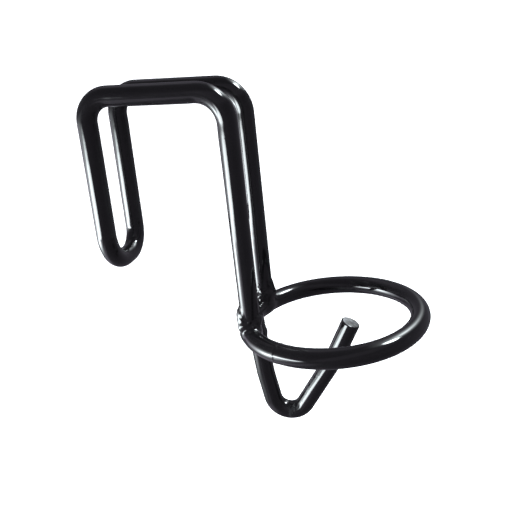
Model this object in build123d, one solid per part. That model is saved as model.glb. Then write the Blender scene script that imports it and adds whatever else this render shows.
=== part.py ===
"""Hair dryer holder bent and welded from coated round steel rod.

A long hairpin of rod hangs over an edge. Its two front legs stand on the rear
of a horizontal ring that takes the dryer, and a hook under the ring rises
through it to hold the nozzle. All parts are mirror-symmetric about the XZ
plane except the hairpin's bow, whose left bend is the tighter one, and the
butt weld that closes the ring.

Units are millimetres. The origin is the seat: the point midway between the two
top runs of the hanger, on their underside, where the holder rests on its edge.
+X points from the back legs towards the ring, +Y to the left, +Z up.
"""

from build123d import *
from math import cos, degrees, radians, sin, sqrt, tan
import os

os.makedirs("parts", exist_ok=True)

# Rod stock
ROD_DIA = 9.7  # 9.5 mm steel rod with its coating
ROD_R = ROD_DIA / 2

# Hanger, centreline sizes
LEG_SPACING = 34.0  # between the two parallel halves of the hairpin
EDGE_SPAN = 66.6  # between the front and back corners of the top runs
BACK_DROP = 83.2  # top runs down to the bottom of the hairpin
FRONT_BEND_R = 14.1
BACK_BEND_R = 11.4
RIGHT_BOW_R = 17.0  # where the right back leg turns into the bow of the hairpin
LEFT_BOW_R = 11.8  # where the bow turns up into the left back leg
FRONT_SPLAY = 2.45  # degrees the front legs lean forward on the way down
BACK_SPLAY = 0.96  # degrees the back legs lean forward on the way down
TOP_Z = ROD_R  # the top runs rest on z = 0

# Ring, centreline sizes
RING_R = 43.1
RING_CENTRE = Vector(77.0, 0, -110.05)
RING_TILT = 4.1  # degrees, front edge up
SEAM_ANGLE = 239.5  # where the ring is closed, degrees about its axis from +X
SEAM_GAP = 2.0  # between the two cut ends of the ring
SEAM_BAND = 3.4  # width of the bead over the gap
SEAM_CROWN = 0.25  # height of that bead over the rod

# Hook, centreline points in the XZ plane and the bend radius at each
HOOK_TOP = (35.0, -105.9)
HOOK_KNEE = (40.0, -143.9)
HOOK_TOE = (48.5, -183.4)
HOOK_SHIN = (76.4, -135.1)
HOOK_TIP = (85.9, -112.6)
HOOK_KNEE_R = 49.0
HOOK_TOE_R = 9.6
HOOK_SHIN_R = 46.0
TIP_BEVEL = 0.35

# Welds between a rod that ends on the ring and the ring
COPE_LEVEL = 2.5  # height over the ring's centreline where such a rod stops
WELD_TOP = 9.6  # how far the bead climbs the rod, from the ring's centreline
WELD_FOOT = 1.6  # how far it hangs below the centreline
WELD_PROUD = 1.7  # thickness at its widest
WELD_BELLY = 2.6  # height of its widest point over the ring's centreline
WELD_SHOULDER = 0.9  # thickness where the bead starts to thin out
WELD_SHOULDER_DROP = 3.0  # from its top edge down to there
WELD_TUCK = 1.0  # thickness at its lower edge
WELD_FEATHER = 0.25  # thickness at its top edge
WELD_ROOT = 1.5  # how far the section reaches into the rod, before the rod is cut out


def rod_disc(origin, direction, radius=ROD_R):
    """A disc across the rod at a point of its centreline."""
    return Plane(origin=origin, z_dir=direction) * Circle(radius)


def bent_rod(points, radii):
    """Round rod along a polyline, with a bend of the given radius at each inner corner."""
    pieces = []
    start = points[0]
    for i in range(1, len(points) - 1):
        corner = points[i]
        into = (corner - points[i - 1]).normalized()
        out = (points[i + 1] - corner).normalized()
        turn = into.get_angle(out)
        reach = radii[i - 1] * tan(radians(turn) / 2)
        bend_start = corner - into * reach
        if (bend_start - start).length > 0.001:
            pieces.append(extrude(rod_disc(start, into), (bend_start - start).length))
        axis_dir = into.cross(out).normalized()
        inward = axis_dir.cross(into)
        bend_axis = Axis(bend_start + inward * radii[i - 1], axis_dir)
        pieces.append(revolve(rod_disc(bend_start, into), bend_axis, turn))
        start = corner + out * reach
    last = points[-1] - start
    pieces.append(extrude(rod_disc(start, last.normalized()), last.length))
    return pieces[0].fuse(*pieces[1:])


def ring_point(angle):
    """Point on the ring's centreline, at an angle about its axis from the front."""
    forward = RING_R * cos(radians(angle))
    tilt = radians(RING_TILT)
    offset = Vector(forward * cos(tilt), RING_R * sin(radians(angle)), forward * sin(tilt))
    return RING_CENTRE + offset


def ring_axis():
    """Axis of the ring, leaning back by the tilt."""
    tilt = radians(RING_TILT)
    return Axis(RING_CENTRE, Vector(-sin(tilt), 0, cos(tilt)))


def ring_arc(from_angle, sweep, radius=ROD_R):
    """Part of the ring, as a bent round bar of the given radius."""
    axis = ring_axis()
    spoke = (ring_point(from_angle) - RING_CENTRE).normalized()
    along = axis.direction.cross(spoke)
    return revolve(rod_disc(ring_point(from_angle), along, radius), axis, sweep)


def rear_level(side_y):
    """Height of the ring's centreline on its rear arc, at a distance from the XZ plane."""
    return RING_CENTRE.Z - sqrt(RING_R**2 - side_y**2) * sin(radians(RING_TILT))


def make_ring_rod():
    """The ring, open by the width of its butt joint."""
    half_gap = degrees(SEAM_GAP / 2 / RING_R)
    return ring_arc(SEAM_ANGLE + half_gap, 360 - 2 * half_gap)


def make_ring_seam_weld(ring):
    """The bead that fills and covers the ring's butt joint."""
    half_band = degrees(SEAM_BAND / 2 / RING_R)
    band = ring_arc(SEAM_ANGLE - half_band, 2 * half_band, ROD_R + SEAM_CROWN)
    return band - ring


def hanger_points():
    """Centreline corners of the hanger, from one foot over and back to the other."""
    side = LEG_SPACING / 2
    foot_drop = TOP_Z - (rear_level(side) + COPE_LEVEL)
    front_x = EDGE_SPAN / 2
    foot_x = front_x + foot_drop * tan(radians(FRONT_SPLAY))
    pin_x = -front_x + BACK_DROP * tan(radians(BACK_SPLAY))
    half = [
        Vector(foot_x, -side, TOP_Z - foot_drop),
        Vector(front_x, -side, TOP_Z),
        Vector(-front_x, -side, TOP_Z),
        Vector(pin_x, -side, TOP_Z - BACK_DROP),
    ]
    other_half = [Vector(p.X, -p.Y, p.Z) for p in reversed(half)]
    return half + other_half


def make_hanger_rod(ring):
    """One rod: two front legs, two top runs, two back legs and the hairpin that joins them."""
    radii = [FRONT_BEND_R, BACK_BEND_R, RIGHT_BOW_R, LEFT_BOW_R, BACK_BEND_R, FRONT_BEND_R]
    rod = bent_rod(hanger_points(), radii)
    return rod - ring


def hook_points():
    """Centreline corners of the hook, from under the ring to its free end."""
    top = Vector(HOOK_TOP[0], 0, HOOK_TOP[1])
    knee = Vector(HOOK_KNEE[0], 0, HOOK_KNEE[1])
    down = (knee - top).normalized()
    start_z = rear_level(0) - COPE_LEVEL
    start = top + down * ((start_z - top.Z) / down.Z)
    toe = Vector(HOOK_TOE[0], 0, HOOK_TOE[1])
    shin = Vector(HOOK_SHIN[0], 0, HOOK_SHIN[1])
    tip = Vector(HOOK_TIP[0], 0, HOOK_TIP[1])
    return [start, knee, toe, shin, tip]


def make_hook_rod(ring):
    """The hook: down from the ring's rear, round a tight bend and up into the ring."""
    points = hook_points()
    rod = bent_rod(points, [HOOK_KNEE_R, HOOK_TOE_R, HOOK_SHIN_R])
    tip_face = rod.faces().sort_by_distance(points[-1])[0]
    rod = chamfer(tip_face.edges(), TIP_BEVEL)
    return rod - ring


def make_end_weld(joint, up_rod, rod, ring):
    """A fillet bead round a rod that ends on the ring. up_rod points along the rod, off the ring."""
    with BuildSketch(Plane.XZ) as section:
        with BuildLine():
            top_edge = (ROD_R + WELD_FEATHER, WELD_TOP)
            lower_edge = (ROD_R + WELD_TUCK, -WELD_FOOT)
            root = ROD_R - WELD_ROOT
            Polyline(lower_edge, (root, -WELD_FOOT), (root, WELD_TOP), top_edge)
            Spline(
                top_edge,
                (ROD_R + WELD_SHOULDER, WELD_TOP - WELD_SHOULDER_DROP),
                (ROD_R + WELD_PROUD, WELD_BELLY),
                lower_edge,
            )
        make_face()
    collar = revolve(section.sketch, Axis.Z)
    bead = Plane(origin=joint, z_dir=up_rod) * collar
    return bead - rod - ring


def make_leg_weld(side, hanger, ring):
    """Bead between one front leg and the ring; side is -1 or +1 along Y."""
    y = side * LEG_SPACING / 2
    level = rear_level(y)
    x = EDGE_SPAN / 2 + (TOP_Z - level) * tan(radians(FRONT_SPLAY))
    lean = radians(FRONT_SPLAY)
    return make_end_weld(Vector(x, y, level), Vector(-sin(lean), 0, cos(lean)), hanger, ring)


def make_hook_weld(hook, ring):
    """Bead between the top of the hook and the underside of the ring."""
    points = hook_points()
    down = (points[1] - points[0]).normalized()
    level = rear_level(0)
    joint = points[0] + down * ((level - points[0].Z) / down.Z)
    return make_end_weld(joint, down, hook, ring)


def largest(shape):
    """The one real solid of a cut, without any crumb the cut may leave."""
    return shape.solids().sort_by(SortBy.VOLUME)[-1]


ring_rod = largest(make_ring_rod())
hanger_rod = largest(make_hanger_rod(ring_rod))
hook_rod = largest(make_hook_rod(ring_rod))

nodes = {
    "hanger_rod": hanger_rod,
    "ring_rod": ring_rod,
    "hook_rod": hook_rod,
    "ring_seam_weld": largest(make_ring_seam_weld(ring_rod)),
    "right_leg_weld": largest(make_leg_weld(-1, hanger_rod, ring_rod)),
    "left_leg_weld": largest(make_leg_weld(1, hanger_rod, ring_rod)),
    "hook_weld": largest(make_hook_weld(hook_rod, ring_rod)),
}

for name, solid in nodes.items():
    export_step(solid, f"parts/{name}.step")
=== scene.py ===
"""Looks for the hair dryer holder: coated rods, weld beads, floor, lights and camera.

Everything lies in the row frame. The sizes of the pieces are in millimetres, and new_mesh turns them
into metres. Materials, floor, lights and camera are in metres. The rods are rebuilt as dense tubes
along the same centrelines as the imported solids, so that their gloss reflections are smooth.
"""

import math

import bpy
import numpy as np
from mathutils import Matrix, Vector


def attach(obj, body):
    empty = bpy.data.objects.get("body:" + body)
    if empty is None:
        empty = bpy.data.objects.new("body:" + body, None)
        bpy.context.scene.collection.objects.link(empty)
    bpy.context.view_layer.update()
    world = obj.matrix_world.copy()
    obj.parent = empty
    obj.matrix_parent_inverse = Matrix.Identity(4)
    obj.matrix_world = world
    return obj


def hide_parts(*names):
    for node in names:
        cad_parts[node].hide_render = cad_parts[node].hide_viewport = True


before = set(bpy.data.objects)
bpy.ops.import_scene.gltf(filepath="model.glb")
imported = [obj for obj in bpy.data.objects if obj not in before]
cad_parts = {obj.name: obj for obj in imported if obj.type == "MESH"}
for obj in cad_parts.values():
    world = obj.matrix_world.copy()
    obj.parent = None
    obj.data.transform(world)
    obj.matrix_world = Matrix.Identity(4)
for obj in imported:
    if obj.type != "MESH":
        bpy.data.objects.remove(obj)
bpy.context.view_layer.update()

MM = 0.001
SEED = 7

# ---------------------------------------------------------------- sizes, as in the CAD part, in mm
ROD_R = 4.85
LEG_SPACING = 34.0
EDGE_SPAN = 66.6
BACK_DROP = 83.2
FRONT_BEND_R = 14.1
BACK_BEND_R = 11.4
FRONT_SPLAY = math.radians(2.45)
BACK_SPLAY = math.radians(0.96)
RIGHT_BOW_R = 17.0
LEFT_BOW_R = 11.8
TOP_Z = ROD_R
RING_R = 43.1
RING_CENTRE = np.array([77.0, 0.0, -110.05])
RING_TILT = math.radians(4.1)
SEAM_ANGLE = 239.5
HOOK = [(35.0, -105.9), (40.0, -143.9), (48.5, -183.4), (76.4, -135.1), (85.9, -112.6)]
HOOK_RADII = [49.0, 9.6, 46.0]
COPE_LEVEL = 2.5

# ---------------------------------------------------------------- sizes of the looks, in mm
COAT_R = ROD_R - 0.03  # radius of the dense rods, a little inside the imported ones
STEP = 0.8  # between samples along a rod
AROUND = 72  # sides of a rod
ANGLES = np.arange(AROUND) * 2 * math.pi / AROUND
RING_SAMPLES = 280
RING_BLEND = 30.0  # the ring's unevenness fades out over this length at its start and end
DIE_MARK_DEPTH, DIE_MARK_WIDTH = 0.09, 2.2
SEAM_SAMPLES = 40
SEAM_HALF = 2.6  # half the length of the seam's tube, whose ends lie inside the ring rod
WELD_STEP = 0.28  # grid of the weld fields
WELD_HALF_BOX = np.array([12.5, 12.5, 14.0])
WELD_RISE = 6.0  # from the joint to the middle of its grid
WELD_REACH = 12.0  # radius about that middle where the bead ends
WELD_FILLET = 4.2  # how far the rod and the ring run into each other
WELD_SOFTENING = 6  # rounds of averaging
WELD_SINK = 0.05  # the bead's surface is drawn in by this much
BIG_DROP = 1.2  # drops over this radius are softened with the bead, smaller ones sit on it
BIG_DROP_BLEND = 2.2  # how far the big ones run into the bead

# square to the rising leg of the hook, and that leg's own value along it, in metres
ACROSS_LEG = (0.866, 0.0, -0.5)
INNER_LINE = 0.1337

# ---------------------------------------------------------------- floor, room, lights, camera, in metres
FLOOR_Z = -0.62
FLOOR_SIDES = 96
FLOOR_FLAT = 1.8  # radius of the flat part
FLOOR_CURVE = 0.9  # radius of the curve from there up to the wall
WALL_TOP = 3.2
DOME_RISE = 1.8
CURVE_STEPS = 12

# brightness of the room that the gloss reflects: below, level and above
ROOM_LOW, ROOM_LEVEL, ROOM_HIGH = 0.155, 0.195, 0.10
ROOM_BEND = 0.7  # sine of the angle from level at which the low and high values are reached
GLOW_LIMIT = 0.05  # keeps a glow's fade finite to its sides and behind it

LIGHT_AIM = Vector((0.04, 0, -0.08))
FADE_RANGE = 100  # a softbox ends where it is this many times darker than in its middle

CAMERA_PLACE = Vector((0.10598, -0.28298, 0.02618))
CAMERA_AZIMUTH, CAMERA_ELEVATION, CAMERA_ROLL = 12.98, 20.02, -3.69  # degrees
CAMERA_LENS, CAMERA_SENSOR = 42.43, 36  # mm


# ---------------------------------------------------------------- small helpers
def unit(v):
    return v / np.linalg.norm(v)


def smoothstep(a, b, x):
    t = np.clip((x - a) / (b - a), 0, 1)
    return t * t * (3 - 2 * t)


def bump(x, centre, width):
    """A smooth hump of height 1."""
    return np.exp(-(((x - centre) / width) ** 2))


def wave(x, seed, period, terms=5):
    """A smooth irregular wave of about unit height along x."""
    rng = np.random.default_rng(seed)
    out = np.zeros_like(x, dtype=float)
    for _ in range(terms):
        p = period * rng.uniform(0.6, 1.8)
        out += np.sin(2 * math.pi * x / p + rng.uniform(0, 2 * math.pi)) / terms**0.5
    return out


def ring_point(angle):
    c = RING_R * math.cos(angle)
    offset = [c * math.cos(RING_TILT), RING_R * math.sin(angle), c * math.sin(RING_TILT)]
    return RING_CENTRE + np.array(offset)


RING_AXIS = np.array([-math.sin(RING_TILT), 0, math.cos(RING_TILT)])


def rear_level(y):
    return RING_CENTRE[2] - math.sqrt(RING_R**2 - y**2) * math.sin(RING_TILT)


# ---------------------------------------------------------------- centrelines
def centreline(points, radii, step):
    """Samples along a polyline with filleted corners: points, tangents and running length."""
    pts = [np.array(p, float) for p in points]
    out = []
    start = pts[0]

    def run(a, b):
        n = max(2, int(np.linalg.norm(b - a) / step) + 1)
        t = unit(b - a)
        for k in range(n):
            out.append((a + (b - a) * k / n, t))

    for i in range(1, len(pts) - 1):
        into = unit(pts[i] - pts[i - 1])
        onward = unit(pts[i + 1] - pts[i])
        turn = math.acos(np.clip(into @ onward, -1, 1))
        r = radii[i - 1]
        reach = r * math.tan(turn / 2)
        a = pts[i] - into * reach
        if np.linalg.norm(a - start) > 0.01:
            run(start, a)
        inward = unit(onward - into * (into @ onward))
        n = max(6, int(r * turn / (step * 0.6)))
        for k in range(n):
            w = turn * k / n
            out.append((a + inward * r * (1 - math.cos(w)) + into * r * math.sin(w),
                        into * math.cos(w) + inward * math.sin(w)))
        start = pts[i] + onward * reach
    run(start, pts[-1])
    out.append((pts[-1], unit(pts[-1] - start)))
    p = np.array([o[0] for o in out])
    t = np.array([o[1] for o in out])
    s = np.concatenate([[0], np.cumsum(np.linalg.norm(np.diff(p, axis=0), axis=1))])
    return p, t, s


def frames_along(t, first):
    """Normals carried along the tangents without twist."""
    n = np.zeros_like(t)
    cur = unit(first - t[0] * (first @ t[0]))
    for i in range(len(t)):
        cur = unit(cur - t[i] * (cur @ t[i]))
        n[i] = cur
    return n, np.cross(t, n)


def new_mesh(name, verts, faces, materials, face_slots=None):
    """A smooth-shaded object from vertices in mm; face_slots gives each face its material."""
    me = bpy.data.meshes.new(name)
    me.from_pydata([tuple(v) for v in np.asarray(verts) * MM], [], faces)
    me.update()
    for m in materials:
        me.materials.append(m)
    if face_slots is not None:
        me.polygons.foreach_set("material_index", np.asarray(face_slots, np.int32))
    me.polygons.foreach_set("use_smooth", np.ones(len(me.polygons), bool))
    ob = bpy.data.objects.new(name, me)
    bpy.context.scene.collection.objects.link(ob)
    return ob


def outward(n, b):
    """Unit directions round the rod at each sample, samples x AROUND x 3."""
    return np.cos(ANGLES)[None, :, None] * n[:, None, :] + np.sin(ANGLES)[None, :, None] * b[:, None, :]


def band(first, second, sides=AROUND):
    """The quads between two closed rows of vertices, given the index of each row's first vertex."""
    quads = []
    for j in range(sides):
        j2 = (j + 1) % sides
        quads.append((first + j, first + j2, second + j2, second + j))
    return quads


def tube(name, p, n, b, radius, materials, closed=False):
    """A tube whose radius (samples x AROUND) can vary; its open ends are closed by flat faces."""
    v = (p[:, None, :] + outward(n, b) * radius[:, :, None]).reshape(-1, 3)
    m = len(p)
    faces = []
    last = m if closed else m - 1
    for i in range(last):
        faces += band(i * AROUND, (i + 1) % m * AROUND)
    if not closed:
        faces.append(tuple(range(AROUND))[::-1])
        faces.append(tuple((m - 1) * AROUND + j for j in range(AROUND)))
    return new_mesh(name, v, faces, materials)


# ---------------------------------------------------------------- materials
class Nodes:
    """A short way to build the node tree of a material, a light or the world."""

    def __init__(self, owner):
        owner.use_nodes = True
        self.tree = owner.node_tree
        self.tree.nodes.clear()

    def add(self, kind, inputs=None, **props):
        node = self.tree.nodes.new(kind)
        for k, v in props.items():
            setattr(node, k, v)
        for k, v in (inputs or {}).items():
            if isinstance(v, bpy.types.NodeSocket):
                self.tree.links.new(v, node.inputs[k])
            else:
                node.inputs[k].default_value = v
        return node

    def noise(self, where, scale, detail=2.0, rough=0.5):
        inputs = {"Vector": where, "Scale": scale, "Detail": detail, "Roughness": rough}
        return self.add("ShaderNodeTexNoise", inputs).outputs["Fac"]

    def ramp(self, fac, low, high, out_low, out_high):
        inputs = {"Value": fac, "From Min": low, "From Max": high, "To Min": out_low, "To Max": out_high}
        return self.add("ShaderNodeMapRange", inputs).outputs["Result"]

    def math(self, op, a, b=0.0):
        return self.add("ShaderNodeMath", {0: a, 1: b}, operation=op).outputs[0]

    def dot(self, a, b):
        return self.add("ShaderNodeVectorMath", {0: a, 1: b}, operation="DOT_PRODUCT").outputs["Value"]

    def stretch(self, where, rotation, scale):
        inputs = {"Vector": where, "Rotation": rotation, "Scale": scale}
        return self.add("ShaderNodeMapping", inputs).outputs[0]

    def fade(self, x, y, edge):
        """Falls from 1 in the middle to 0; a larger edge gives a flatter middle and a sharper border."""
        square = self.math("ADD", self.math("MULTIPLY", x, x), self.math("MULTIPLY", y, y))
        return self.math("EXPONENT", self.math("MULTIPLY", self.math("POWER", square, edge), -0.5))

    def bump(self, height, distance, strength=1.0, normal=None):
        inputs = {"Height": height, "Distance": distance, "Strength": strength}
        if normal is not None:
            inputs["Normal"] = normal
        return self.add("ShaderNodeBump", inputs).outputs["Normal"]

    def mix_colour(self, fac, a, b):
        return self.add("ShaderNodeMix", {0: fac, 6: a, 7: b}, data_type="RGBA").outputs[2]

    def surface(self, inputs):
        bsdf = self.add("ShaderNodeBsdfPrincipled", inputs)
        self.add("ShaderNodeOutputMaterial", {"Surface": bsdf.outputs["BSDF"]})


def coating(name, peel, rough_low, rough_high, dust=1.0, rubbed=None):
    """Gloss black powder coat: orange peel, slow sag waves, dust nibs and hazy patches.

    rubbed, if given, builds from the nodes and the place how far the coat is rubbed dull there.
    """
    material = bpy.data.materials.new(name)
    m = Nodes(material)
    where = m.add("ShaderNodeTexCoord").outputs["Object"]
    fine = m.noise(where, 620.0, 2.0, 0.45)
    slow = m.noise(where, 130.0, 1.0, 0.4)
    haze = m.noise(where, 55.0, 3.0, 0.6)
    cells = m.add("ShaderNodeTexVoronoi", {"Vector": where, "Scale": 210.0, "Randomness": 1.0})
    specks = cells.outputs["Distance"]
    chosen = m.noise(where, 190.0, 0.0)
    nib = m.math("MULTIPLY", m.ramp(specks, 0.0, 0.10, 1.0, 0.0), m.ramp(chosen, 0.66, 0.72, 0.0, 1.0))
    normal = m.bump(slow, 0.10 * MM, peel * 0.8)
    normal = m.bump(fine, 0.018 * MM, peel, normal)
    normal = m.bump(nib, 0.12 * MM, 0.7 * dust, normal)
    patches = m.ramp(haze, 0.35, 0.7, 0.0, 1.0)
    colour = m.mix_colour(patches, (0.0070, 0.0065, 0.0074, 1), (0.0092, 0.0086, 0.0096, 1))
    rough = m.ramp(haze, 0.3, 0.75, rough_low, rough_high)
    if rubbed is not None:
        scuff = rubbed(m, where)
        rough = m.math("ADD", rough, m.math("MULTIPLY", scuff, 0.3))
        colour = m.mix_colour(scuff, colour, (0.045, 0.047, 0.048, 1))
        scratches = m.math("MULTIPLY", scuff, m.noise(where, 1400.0, 2.0, 0.6))
        normal = m.bump(scratches, 0.10 * MM, 0.8, normal)
    m.surface({"Base Color": colour, "Roughness": rough, "Normal": normal, "IOR": 1.5})
    return material


def rubbed_in_bend(m, where):
    """Patches above the hook's bend, on the side of its rising leg that faces the falling leg."""
    along_x = m.add("ShaderNodeSeparateXYZ", {"Vector": where}).outputs["X"]
    inner = m.ramp(m.dot(where, ACROSS_LEG), INNER_LINE - 1.5 * MM, INNER_LINE - 4.2 * MM, 0.0, 1.0)
    zone = m.math("MULTIPLY", inner, m.ramp(along_x, 0.050, 0.056, 0.0, 1.0))
    zone = m.math("MULTIPLY", zone, m.ramp(along_x, 0.071, 0.078, 1.0, 0.0))
    stretched = m.stretch(where, (0.0, -0.52, 0.0), (1.0, 1.0, 0.35))
    patch = m.ramp(m.noise(stretched, 420.0, 4.0, 0.65), 0.50, 0.62, 0.0, 1.0)
    return m.math("MULTIPLY", zone, patch)


def sawn_coating():
    """Coat over a sawn end: grey patches where the coat is rubbed thin, fine saw marks, and painted shading
    that draws one side of the face lighter and the other darker.
    """
    material = bpy.data.materials.new("coat_on_sawn_end")
    m = Nodes(material)
    where = m.add("ShaderNodeTexCoord").outputs["Object"]
    marks = m.noise(m.stretch(where, (0.2, 0.3, 0.35), (1.0, 0.18, 1.0)), 1500.0, 2.0, 0.6)
    blotch = m.noise(where, 520.0, 3.0, 0.6)
    # painted shading: a ramp across the face, lighter towards one side and darker towards the other
    side = m.ramp(m.dot(where, (1.0, -0.5, -0.42)), 0.1290, 0.1375, 0.95, 0.05)
    # the grey mix is partly real wear (the blotches) and partly painted light and shade (the ramp across the
    # face)
    wear_and_painted_shading = m.math("ADD", m.ramp(blotch, 0.36, 0.64, -0.45, 0.45), side)
    normal = m.bump(blotch, 0.16 * MM, 0.8)
    normal = m.bump(marks, 0.07 * MM, 0.8, normal)
    bare_and_painted_shading = m.ramp(wear_and_painted_shading, 0.1, 1.1, 0.0, 1.0)
    colour = m.mix_colour(bare_and_painted_shading, (0.022, 0.021, 0.022, 1), (0.24, 0.24, 0.25, 1))
    rough = m.ramp(blotch, 0.3, 0.7, 0.28, 0.5)
    m.surface({"Base Color": colour, "Roughness": rough, "Normal": normal, "IOR": 1.5})
    return material


COAT = coating("black_gloss_coat", 0.3, 0.04, 0.09)
COAT_ON_WELD = coating("black_gloss_coat_on_weld", 0.6, 0.06, 0.14, 1.5)
COAT_ON_SAW = sawn_coating()
HOOK_COAT = coating("black_gloss_coat_on_hook", 0.3, 0.04, 0.09, rubbed=rubbed_in_bend)


# ---------------------------------------------------------------- rods
# p, t and s are a centreline's points, tangents and running length; n and b are two directions across it
def hanger_path(step):
    side = LEG_SPACING / 2
    drop = TOP_Z - (rear_level(side) + COPE_LEVEL)
    front = EDGE_SPAN / 2
    half = [
        (front + drop * math.tan(FRONT_SPLAY), -side, TOP_Z - drop),
        (front, -side, TOP_Z),
        (-front, -side, TOP_Z),
        (-front + BACK_DROP * math.tan(BACK_SPLAY), -side, TOP_Z - BACK_DROP),
    ]
    other = [(x, -y, z) for x, y, z in reversed(half)]
    radii = [FRONT_BEND_R, BACK_BEND_R, RIGHT_BOW_R, LEFT_BOW_R, BACK_BEND_R, FRONT_BEND_R]
    return centreline(half + other, radii, step)


def surface_noise(s, a, seed):
    """Slight unevenness of a drawn and coated rod, in mm, over length s and angle a."""
    out = 0.010 * wave(s, seed, 26)[:, None] * np.cos(a + 0.6)[None, :]
    out = out + 0.008 * wave(s, seed + 1, 17)[:, None] * np.cos(2 * a + 1.9)[None, :]
    out = out + 0.006 * wave(s, seed + 2, 9)[:, None] * np.cos(3 * a + 0.2)[None, :]
    return out


def bend_marks(t, s, n, b, depth, width):
    """Shallow flats that the bending die left on the inner side, where each bend starts and ends."""
    curve = np.gradient(t, s, axis=0)
    bent = np.linalg.norm(curve, axis=1) > 0.01
    edges = np.nonzero(bent[1:] != bent[:-1])[0]
    out = np.zeros((len(s), AROUND))
    for k in edges:
        inside = k + 3 if bent[min(k + 3, len(s) - 1)] else k - 3
        inward = unit(curve[inside])
        facing = np.cos(ANGLES)[None, :] * (n[k] @ inward) + np.sin(ANGLES)[None, :] * (b[k] @ inward)
        out -= depth * bump(s, s[k], width)[:, None] * np.clip(0.35 + 0.65 * facing, 0, 1) ** 2
    return out


def make_hanger():
    p, t, s = hanger_path(STEP)
    n, b = frames_along(t, np.array([0, 1.0, 0]))
    radius = COAT_R + surface_noise(s, ANGLES, SEED) + bend_marks(t, s, n, b, DIE_MARK_DEPTH, DIE_MARK_WIDTH)
    ob = tube("hanger_rod_coated", p, n, b, radius, [COAT])
    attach(ob, "root")
    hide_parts("hanger_rod")


def make_ring():
    w = np.arange(RING_SAMPLES) * 2 * math.pi / RING_SAMPLES
    p = np.array([ring_point(x) for x in w])
    n = np.array([unit(q - RING_CENTRE) for q in p])
    b = np.tile(RING_AXIS, (RING_SAMPLES, 1))
    s = w * RING_R
    length = 2 * math.pi * RING_R
    blend = smoothstep(0, RING_BLEND, s) * smoothstep(length, length - RING_BLEND, s)
    radius = COAT_R + surface_noise(s, ANGLES, SEED + 20) * blend[:, None]
    ob = tube("ring_rod_coated", p, n, b, radius, [COAT], closed=True)
    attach(ob, "root")
    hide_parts("ring_rod")


def hook_path(step):
    top, knee = np.array(HOOK[0]), np.array(HOOK[1])
    down = unit(knee - top)
    start = top + down * ((rear_level(0) - COPE_LEVEL - top[1]) / down[1])
    pts = [start] + [np.array(q) for q in HOOK[1:]]
    return centreline([(q[0], 0, q[1]) for q in pts], HOOK_RADII, step)


def make_hook():
    p, t, s = hook_path(STEP)
    n, b = frames_along(t, np.array([0, 1.0, 0]))
    radius = COAT_R + surface_noise(s, ANGLES, SEED + 40)
    side = outward(n, b)
    v = p[:, None, :] + side * radius[:, :, None]
    # the free end: a small bevel, then the sawn face in rings towards its middle, each given by how
    # far it lies behind the end and by its part of the rod's radius
    end, axis = p[-1], t[-1]
    v = v[:-1]
    rows = [v.reshape(-1, 3)]
    inner = [(-0.34, 1.0), (-0.22, 0.985), (-0.10, 0.945), (0.0, 0.88)]
    inner += [(0.0, f) for f in (0.80, 0.70, 0.59, 0.48, 0.36, 0.24, 0.12)]
    rng = np.random.default_rng(SEED + 41)
    for back, f in inner:
        lift = back + (0.010 * rng.standard_normal(AROUND) if f < 0.9 else 0.0)
        rows.append(end + axis * np.reshape(lift * np.ones(AROUND), (-1, 1)) + side[-1] * (COAT_R * f))
    count = len(v) + len(inner)
    verts = np.vstack(rows + [end[None, :]])
    faces, slots = [], []
    for i in range(count - 1):
        faces += band(i * AROUND, (i + 1) * AROUND)
        slots += [1 if i >= len(v) + 3 else 0] * AROUND
    tip = len(verts) - 1
    last = (count - 1) * AROUND
    for j in range(AROUND):
        faces.append((last + j, last + (j + 1) % AROUND, tip))
        slots.append(1)
    faces.append(tuple(range(AROUND))[::-1])
    slots.append(0)
    ob = new_mesh("hook_rod_coated", verts, faces, [HOOK_COAT, COAT_ON_SAW], slots)
    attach(ob, "root")
    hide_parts("hook_rod")


# ---------------------------------------------------------------- welds, as smooth solids of distance fields
def half_line(q, start, direction, r):
    d = q - start
    h = np.clip(d @ direction, 0, None)
    return np.linalg.norm(d - h[..., None] * direction, axis=-1) - r


def torus(q, r):
    d = q - RING_CENTRE
    up = d @ RING_AXIS
    flat = d - up[..., None] * RING_AXIS
    return np.hypot(np.linalg.norm(flat, axis=-1) - RING_R, up) - r


def smooth_min(a, b, k):
    h = np.clip(k - np.abs(a - b), 0, None) / k
    return np.minimum(a, b) - h * h * k / 4


def smooth_max(a, b, k):
    return -smooth_min(-a, -b, k)


def soften(field, times):
    """Rounds the creases of a sampled field by averaging neighbours."""
    for _ in range(times):
        for axis in range(3):
            pad = np.concatenate([field.take([0], axis), field, field.take([-1], axis)], axis)
            n = field.shape[axis]
            low = pad.take(range(0, n), axis)
            high = pad.take(range(2, n + 2), axis)
            field = (low + 2 * field + high) / 4
    return field


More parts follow.
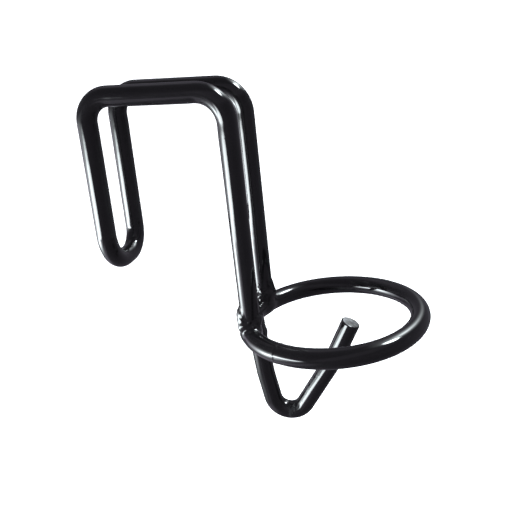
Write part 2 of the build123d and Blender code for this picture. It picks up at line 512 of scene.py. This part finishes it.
def surface_nets(field, origin, step):
    """Vertices and quads of the zero surface of a sampled field."""
    inside = field < 0
    nx, ny, nz = field.shape
    corner = [(i, j, k) for i in (0, 1) for j in (0, 1) for k in (0, 1)]
    cells = sum(inside[i:nx - 1 + i, j:ny - 1 + j, k:nz - 1 + k].astype(int) for i, j, k in corner)
    active = (cells > 0) & (cells < 8)
    index = -np.ones(active.shape, int)
    index[active] = np.arange(active.sum())
    ci, cj, ck = np.nonzero(active)
    total = np.zeros((len(ci), 3))
    hits = np.zeros(len(ci))
    for a in corner:
        for axis in range(3):
            if a[axis]:
                continue
            c = list(a)
            c[axis] = 1
            fa = field[ci + a[0], cj + a[1], ck + a[2]]
            fb = field[ci + c[0], cj + c[1], ck + c[2]]
            cross = (fa < 0) != (fb < 0)
            w = np.where(cross, fa / np.where(cross, fa - fb, 1), 0)
            point = np.tile(np.array(a, float), (len(ci), 1))
            point[:, axis] += w
            total += point * cross[:, None]
            hits += cross
    verts = origin + (np.stack([ci, cj, ck], 1) + total / hits[:, None]) * step
    faces = []
    for axis in range(3):
        u, v = (axis + 1) % 3, (axis + 2) % 3
        lo = [slice(None)] * 3
        hi = [slice(None)] * 3
        lo[axis], hi[axis] = slice(0, -1), slice(1, None)
        change = inside[tuple(lo)] != inside[tuple(hi)]
        pts = np.argwhere(change)
        low = (pts[:, u] > 0) & (pts[:, v] > 0)
        high = (pts[:, u] < field.shape[u] - 1) & (pts[:, v] < field.shape[v] - 1)
        pts = pts[low & high]
        quad = []
        for du, dv in ((-1, -1), (0, -1), (0, 0), (-1, 0)):
            q = pts.copy()
            q[:, u] += du
            q[:, v] += dv
            quad.append(index[q[:, 0], q[:, 1], q[:, 2]])
        quad = np.stack(quad, 1)
        keep = inside[tuple(pts.T)]
        quad[~keep] = quad[~keep][:, ::-1]
        faces += quad.tolist()
    return verts, faces


def weld_bead(name, node, joint, direction, drops):
    """The bead where a rod ends on the ring.

    Each drop of weld metal is (angle about the rod, height along it, how far it stands out of the
    rod, radius); the drops, the rod and the ring run smoothly into each other.
    """
    middle = joint + direction * WELD_RISE
    low, high = middle - WELD_HALF_BOX, middle + WELD_HALF_BOX
    axes = [np.arange(low[i], high[i], WELD_STEP) for i in range(3)]
    q = np.stack(np.meshgrid(*axes, indexing="ij"), -1)
    rod = half_line(q, joint + direction * COPE_LEVEL, direction, COAT_R)
    ring = torus(q, COAT_R)
    solid = smooth_min(rod, ring, WELD_FILLET)
    east = unit(np.array([1.0, 0, 0]) - direction * direction[0])
    north = np.array([0, 1.0, 0])

    def drop(angle, height, proud, r):
        a = math.radians(angle)
        out = east * math.cos(a) + north * math.sin(a)
        centre = joint + out * (ROD_R + proud - r) + direction * height
        return np.linalg.norm(q - centre, axis=-1) - r

    for d in drops:
        if d[3] > BIG_DROP:
            solid = smooth_min(solid, drop(*d), BIG_DROP_BLEND)
    solid = soften(solid, WELD_SOFTENING)
    for d in drops:
        if d[3] <= BIG_DROP:
            solid = smooth_min(solid, drop(*d), 0.9 * d[3])
    rods = np.minimum(rod, ring)
    x, y, z = q[..., 0], q[..., 1], q[..., 2]
    ripple = 0.035 * np.sin(x * 1.7 + 1.1 * np.sin(y * 1.4)) * np.sin(z * 2.0 + y)
    solid = solid + ripple * smoothstep(0.1, 0.8, rods - solid) + WELD_SINK
    ball = np.linalg.norm(q - middle, axis=-1) - WELD_REACH
    field = smooth_max(solid, ball, 1.0)
    origin = np.array([steps[0] for steps in axes])
    verts, faces = surface_nets(field, origin, WELD_STEP)
    ob = new_mesh(name, verts, faces, [COAT_ON_WELD])
    smoother = ob.modifiers.new("even", "SMOOTH")
    smoother.factor = 0.5
    smoother.iterations = 3
    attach(ob, "root")
    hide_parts(node)


def leg_joint(side):
    y = side * LEG_SPACING / 2
    level = rear_level(y)
    x = EDGE_SPAN / 2 + (TOP_Z - level) * math.tan(FRONT_SPLAY)
    return np.array([x, y, level]), unit(np.array([-math.sin(FRONT_SPLAY), 0, math.cos(FRONT_SPLAY)]))


RIGHT_LEG_DROPS = [
    (-164, 13.2, 1.4, 2.4), (-157, 10.8, 1.7, 2.5), (-147, 8.2, 1.8, 2.3), (-136, 5.4, 2.4, 1.8),
    (-112, 7.2, 0.8, 1.6), (-84, 8.9, 0.45, 0.9), (-60, 6.8, 1.2, 0.9), (172, 10.0, 1.4, 2.4),
    (140, 10.2, 0.9, 2.2), (95, 9.0, 0.8, 2.0), (42, 8.0, 0.9, 2.2), (6, 9.0, 0.9, 2.2), (-28, 7.4, 0.7, 2.0),
]
LEFT_LEG_DROPS = [
    (-107, 14.6, 0.30, 0.6), (-113, 13.2, 0.30, 0.5), (-103, 11.9, 0.35, 0.6), (-92, 10.3, 0.6, 0.9),
    (-98, 6.4, 1.4, 1.1), (-96, 3.6, 3.6, 1.1), (10, 13.2, 0.4, 2.4), (13, 10.4, 0.9, 2.6),
    (12, 7.6, 1.9, 2.8), (-42, 8.0, 0.8, 2.2), (62, 8.6, 0.8, 2.2), (112, 9.4, 0.9, 2.2),
    (160, 9.8, 1.2, 2.2), (-150, 9.6, 1.0, 2.2),
]
HOOK_DROPS = [
    (-150, 6.6, 0.9, 2.0), (-95, 7.2, 0.7, 2.0), (-40, 6.8, 0.35, 2.2), (15, 7.2, 0.2, 2.2),
    (70, 6.9, 0.4, 2.0), (125, 7.3, 0.9, 2.0), (178, 7.0, 1.2, 2.2),
]


def make_welds():
    legs = ((-1, "right_leg_weld", RIGHT_LEG_DROPS), (1, "left_leg_weld", LEFT_LEG_DROPS))
    for side, node, drops in legs:
        joint, up = leg_joint(side)
        weld_bead(node + "_bead", node, joint, up, drops)
    p, t, _ = hook_path(2.0)
    down = t[0]
    joint = p[0] + down * ((rear_level(0) - p[0][2]) / down[2])
    weld_bead("hook_weld_bead", "hook_weld", joint, down, HOOK_DROPS)


def make_seam():
    """The ground butt weld that closes the ring: a low uneven band with a fine ridge near its middle."""
    half = SEAM_HALF / RING_R
    centre = math.radians(SEAM_ANGLE)
    w = np.linspace(centre - half, centre + half, SEAM_SAMPLES)
    p = np.array([ring_point(x) for x in w])
    n = np.array([unit(q - RING_CENTRE) for q in p])
    b = np.tile(RING_AXIS, (SEAM_SAMPLES, 1))
    s = (w - centre) * RING_R
    crown = 0.05 * np.cos(np.clip(s / SEAM_HALF, -1, 1) * math.pi / 2) + 0.12 * bump(s, 0.2, 0.5)
    uneven = 1 + 0.25 * np.sin(3 * ANGLES + 0.5)[None, :]
    uneven = uneven + 0.15 * np.sin(5 * ANGLES + 2)[None, :] * np.cos(s * 1.4)[:, None]
    radius = ROD_R - 0.07 + crown[:, None] * uneven
    ob = tube("ring_seam_bead", p, n, b, radius, [COAT_ON_WELD])
    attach(ob, "root")
    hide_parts("ring_seam_weld")


make_hanger()
make_ring()
make_hook()
make_welds()
make_seam()


# ---------------------------------------------------------------- floor, lights, camera
def make_floor():
    """A pale floor well below the hung holder, curving up into a wall that a dome closes."""
    wall = FLOOR_FLAT + FLOOR_CURVE
    quarter = [math.pi / 2 * k / CURVE_STEPS for k in range(1, CURVE_STEPS + 1)]
    profile = [(0.0, 0.0), (0.5, 0.0), (1.2, 0.0), (FLOOR_FLAT, 0.0)]
    profile += [(FLOOR_FLAT + FLOOR_CURVE * math.sin(w), FLOOR_CURVE * (1 - math.cos(w))) for w in quarter]
    profile += [(wall, 1.4), (wall, 2.2), (wall, WALL_TOP)]
    profile += [(wall * math.cos(w), WALL_TOP + DOME_RISE * math.sin(w)) for w in quarter]
    verts, faces = [], []
    for r, z in profile:
        r = max(r, 0.001)
        for j in range(FLOOR_SIDES):
            a = 2 * math.pi * j / FLOOR_SIDES
            verts.append((r * math.cos(a), r * math.sin(a), z + FLOOR_Z))
    for i in range(len(profile) - 1):
        faces += band(i * FLOOR_SIDES, (i + 1) * FLOOR_SIDES, FLOOR_SIDES)
    material = bpy.data.materials.new("pale_floor")
    m = Nodes(material)
    tone = m.noise(m.add("ShaderNodeTexCoord").outputs["Object"], 9.0, 3.0)
    colour = m.mix_colour(tone, (0.90, 0.90, 0.90, 1), (0.93, 0.93, 0.93, 1))
    glowing = {"Emission Color": (1, 1, 1, 1), "Emission Strength": 0.75}
    m.surface({"Base Color": colour, "Roughness": 0.9, **glowing})
    ob = new_mesh("floor", np.array(verts) / MM, faces, [material])
    ob.visible_glossy = False
    ob.visible_diffuse = False
    ob.visible_shadow = False


def towards(azimuth, elevation, roll=0.0):
    """A direction in the row frame, with two directions square to it turned by roll."""
    a, e, r = math.radians(azimuth), math.radians(elevation), math.radians(roll)
    d = Vector((math.cos(a) * math.cos(e), math.sin(a) * math.cos(e), math.sin(e)))
    u = Vector((-math.sin(a), math.cos(a), 0))
    v = d.cross(u)
    return d, u * math.cos(r) + v * math.sin(r), v * math.cos(r) - u * math.sin(r)


def put(ob, x_axis, y_axis, z_axis, place):
    """Sets an object's axes and place, and adds it to the scene."""
    matrix = Matrix((x_axis, y_axis, z_axis)).transposed().to_4x4()
    matrix.translation = place
    ob.matrix_world = matrix
    bpy.context.scene.collection.objects.link(ob)


def softbox(name, azimuth, elevation, roll, spread_u, spread_v, radiance, edge, colour, distance):
    """A soft window: an area light that is brightest in its middle and fades to its edges.

    The spreads are the fade's standard deviations, as tangents of the angle seen from the holder.
    The edge is 1 for a bell-shaped fade; more gives a flatter middle and a sharper border.
    """
    d, u, v = towards(azimuth, elevation, roll)
    reach = (2 * math.log(FADE_RANGE)) ** (0.5 / edge)
    width, height = 2 * reach * spread_u * distance, 2 * reach * spread_v * distance
    data = bpy.data.lights.new(name, "AREA")
    data.shape = "RECTANGLE"
    data.size, data.size_y = width, height
    data.energy = radiance * width * height * math.pi
    data.color = colour
    m = Nodes(data)
    place = m.add("ShaderNodeNewGeometry").outputs["Parametric"]
    parts = m.add("ShaderNodeSeparateXYZ", {0: place})
    x = m.math("MULTIPLY", m.math("SUBTRACT", parts.outputs["X"], 0.5), 2 * reach)
    y = m.math("MULTIPLY", m.math("SUBTRACT", parts.outputs["Y"], 0.5), 2 * reach)
    emission = m.add("ShaderNodeEmission", {"Strength": m.fade(x, y, edge)})
    m.add("ShaderNodeOutputLight", {"Surface": emission.outputs[0]})
    ob = bpy.data.objects.new(name, data)
    ob.visible_camera = False
    put(ob, u, v, d, LIGHT_AIM + d * distance)


def make_world():
    """A dim room, brightest at the holder's level and darkest above, with four faint glows in it."""
    world = bpy.data.worlds.new("studio")
    bpy.context.scene.world = world
    m = Nodes(world)
    look = m.add("ShaderNodeTexCoord").outputs["Generated"]

    def glow(azimuth, elevation, roll, spread_u, spread_v, radiance, edge=1.0):
        d, u, v = towards(azimuth, elevation, roll)
        ahead = m.math("MAXIMUM", m.dot(look, d), GLOW_LIMIT)
        x = m.math("DIVIDE", m.math("DIVIDE", m.dot(look, u), ahead), spread_u)
        y = m.math("DIVIDE", m.math("DIVIDE", m.dot(look, v), ahead), spread_v)
        return m.math("MULTIPLY", m.fade(x, y, edge), radiance)

    def towards_end(scale, end):
        """What the room gains towards straight down or straight up."""
        share = m.math("MINIMUM", m.math("MAXIMUM", m.math("MULTIPLY", height, scale), 0.0), 1.0)
        return m.math("MULTIPLY", share, end - ROOM_LEVEL)

    height = m.dot(look, Vector((0, 0, 1)))
    total = m.math("ADD", ROOM_LEVEL, towards_end(-1 / ROOM_BEND, ROOM_LOW))
    total = m.math("ADD", total, towards_end(1 / ROOM_BEND, ROOM_HIGH))
    total = m.math("ADD", total, glow(-166.6, -55.1, 3.8, 0.966, 0.129, 0.60, 1.7))
    total = m.math("ADD", total, glow(-61.1, 40.5, 30.0, 1.55, 0.26, 0.15, 3.2))
    total = m.math("ADD", total, glow(-171.3, -20.3, -11.3, 1.16, 0.198, 0.72, 4.2))
    total = m.math("ADD", total, glow(125.0, 54.0, 0.0, 0.35, 0.20, 0.30))
    background = m.add("ShaderNodeBackground", {"Color": (0.98, 0.92, 1.10, 1), "Strength": total})
    m.add("ShaderNodeOutputWorld", {"Surface": background.outputs[0]})


def make_lights():
    cool = (0.90, 0.98, 1.0)
    softbox("left_window_middle", -141.1, -12.6, 2.4, 0.341, 0.105, 20.5, 3.2, cool, 2.36)
    softbox("left_window", -164.5, -20.5, 11.3, 0.119, 0.083, 31.7, 0.59, cool, 0.78)
    softbox("rear_window_high", 21.7, 57.4, 17.9, 0.147, 0.110, 55.0, 3.3, cool, 3.4)
    softbox("rear_window", 55.6, 48.9, -43.7, 0.166, 0.062, 17.3, 0.67, cool, 2.4)


def make_camera():
    """The photographer's place: a little to the holder's front right, looking down on it."""
    azimuth, elevation = math.radians(CAMERA_AZIMUTH), math.radians(CAMERA_ELEVATION)
    roll = math.radians(CAMERA_ROLL)
    level = math.cos(elevation)
    back = Vector((math.sin(azimuth) * level, -math.cos(azimuth) * level, math.sin(elevation)))
    right = Vector((math.cos(azimuth), math.sin(azimuth), 0))
    up = back.cross(right)
    side = right * math.cos(roll) + up * math.sin(roll)
    top = up * math.cos(roll) - right * math.sin(roll)
    data = bpy.data.cameras.new("camera")
    data.sensor_width = CAMERA_SENSOR
    data.lens = CAMERA_LENS
    data.clip_start, data.clip_end = 0.01, 20
    ob = bpy.data.objects.new("camera", data)
    put(ob, side, top, back, CAMERA_PLACE)
    bpy.context.scene.camera = ob


make_floor()
make_world()
make_lights()
make_camera()
bpy.context.scene.view_settings.view_transform = "Standard"
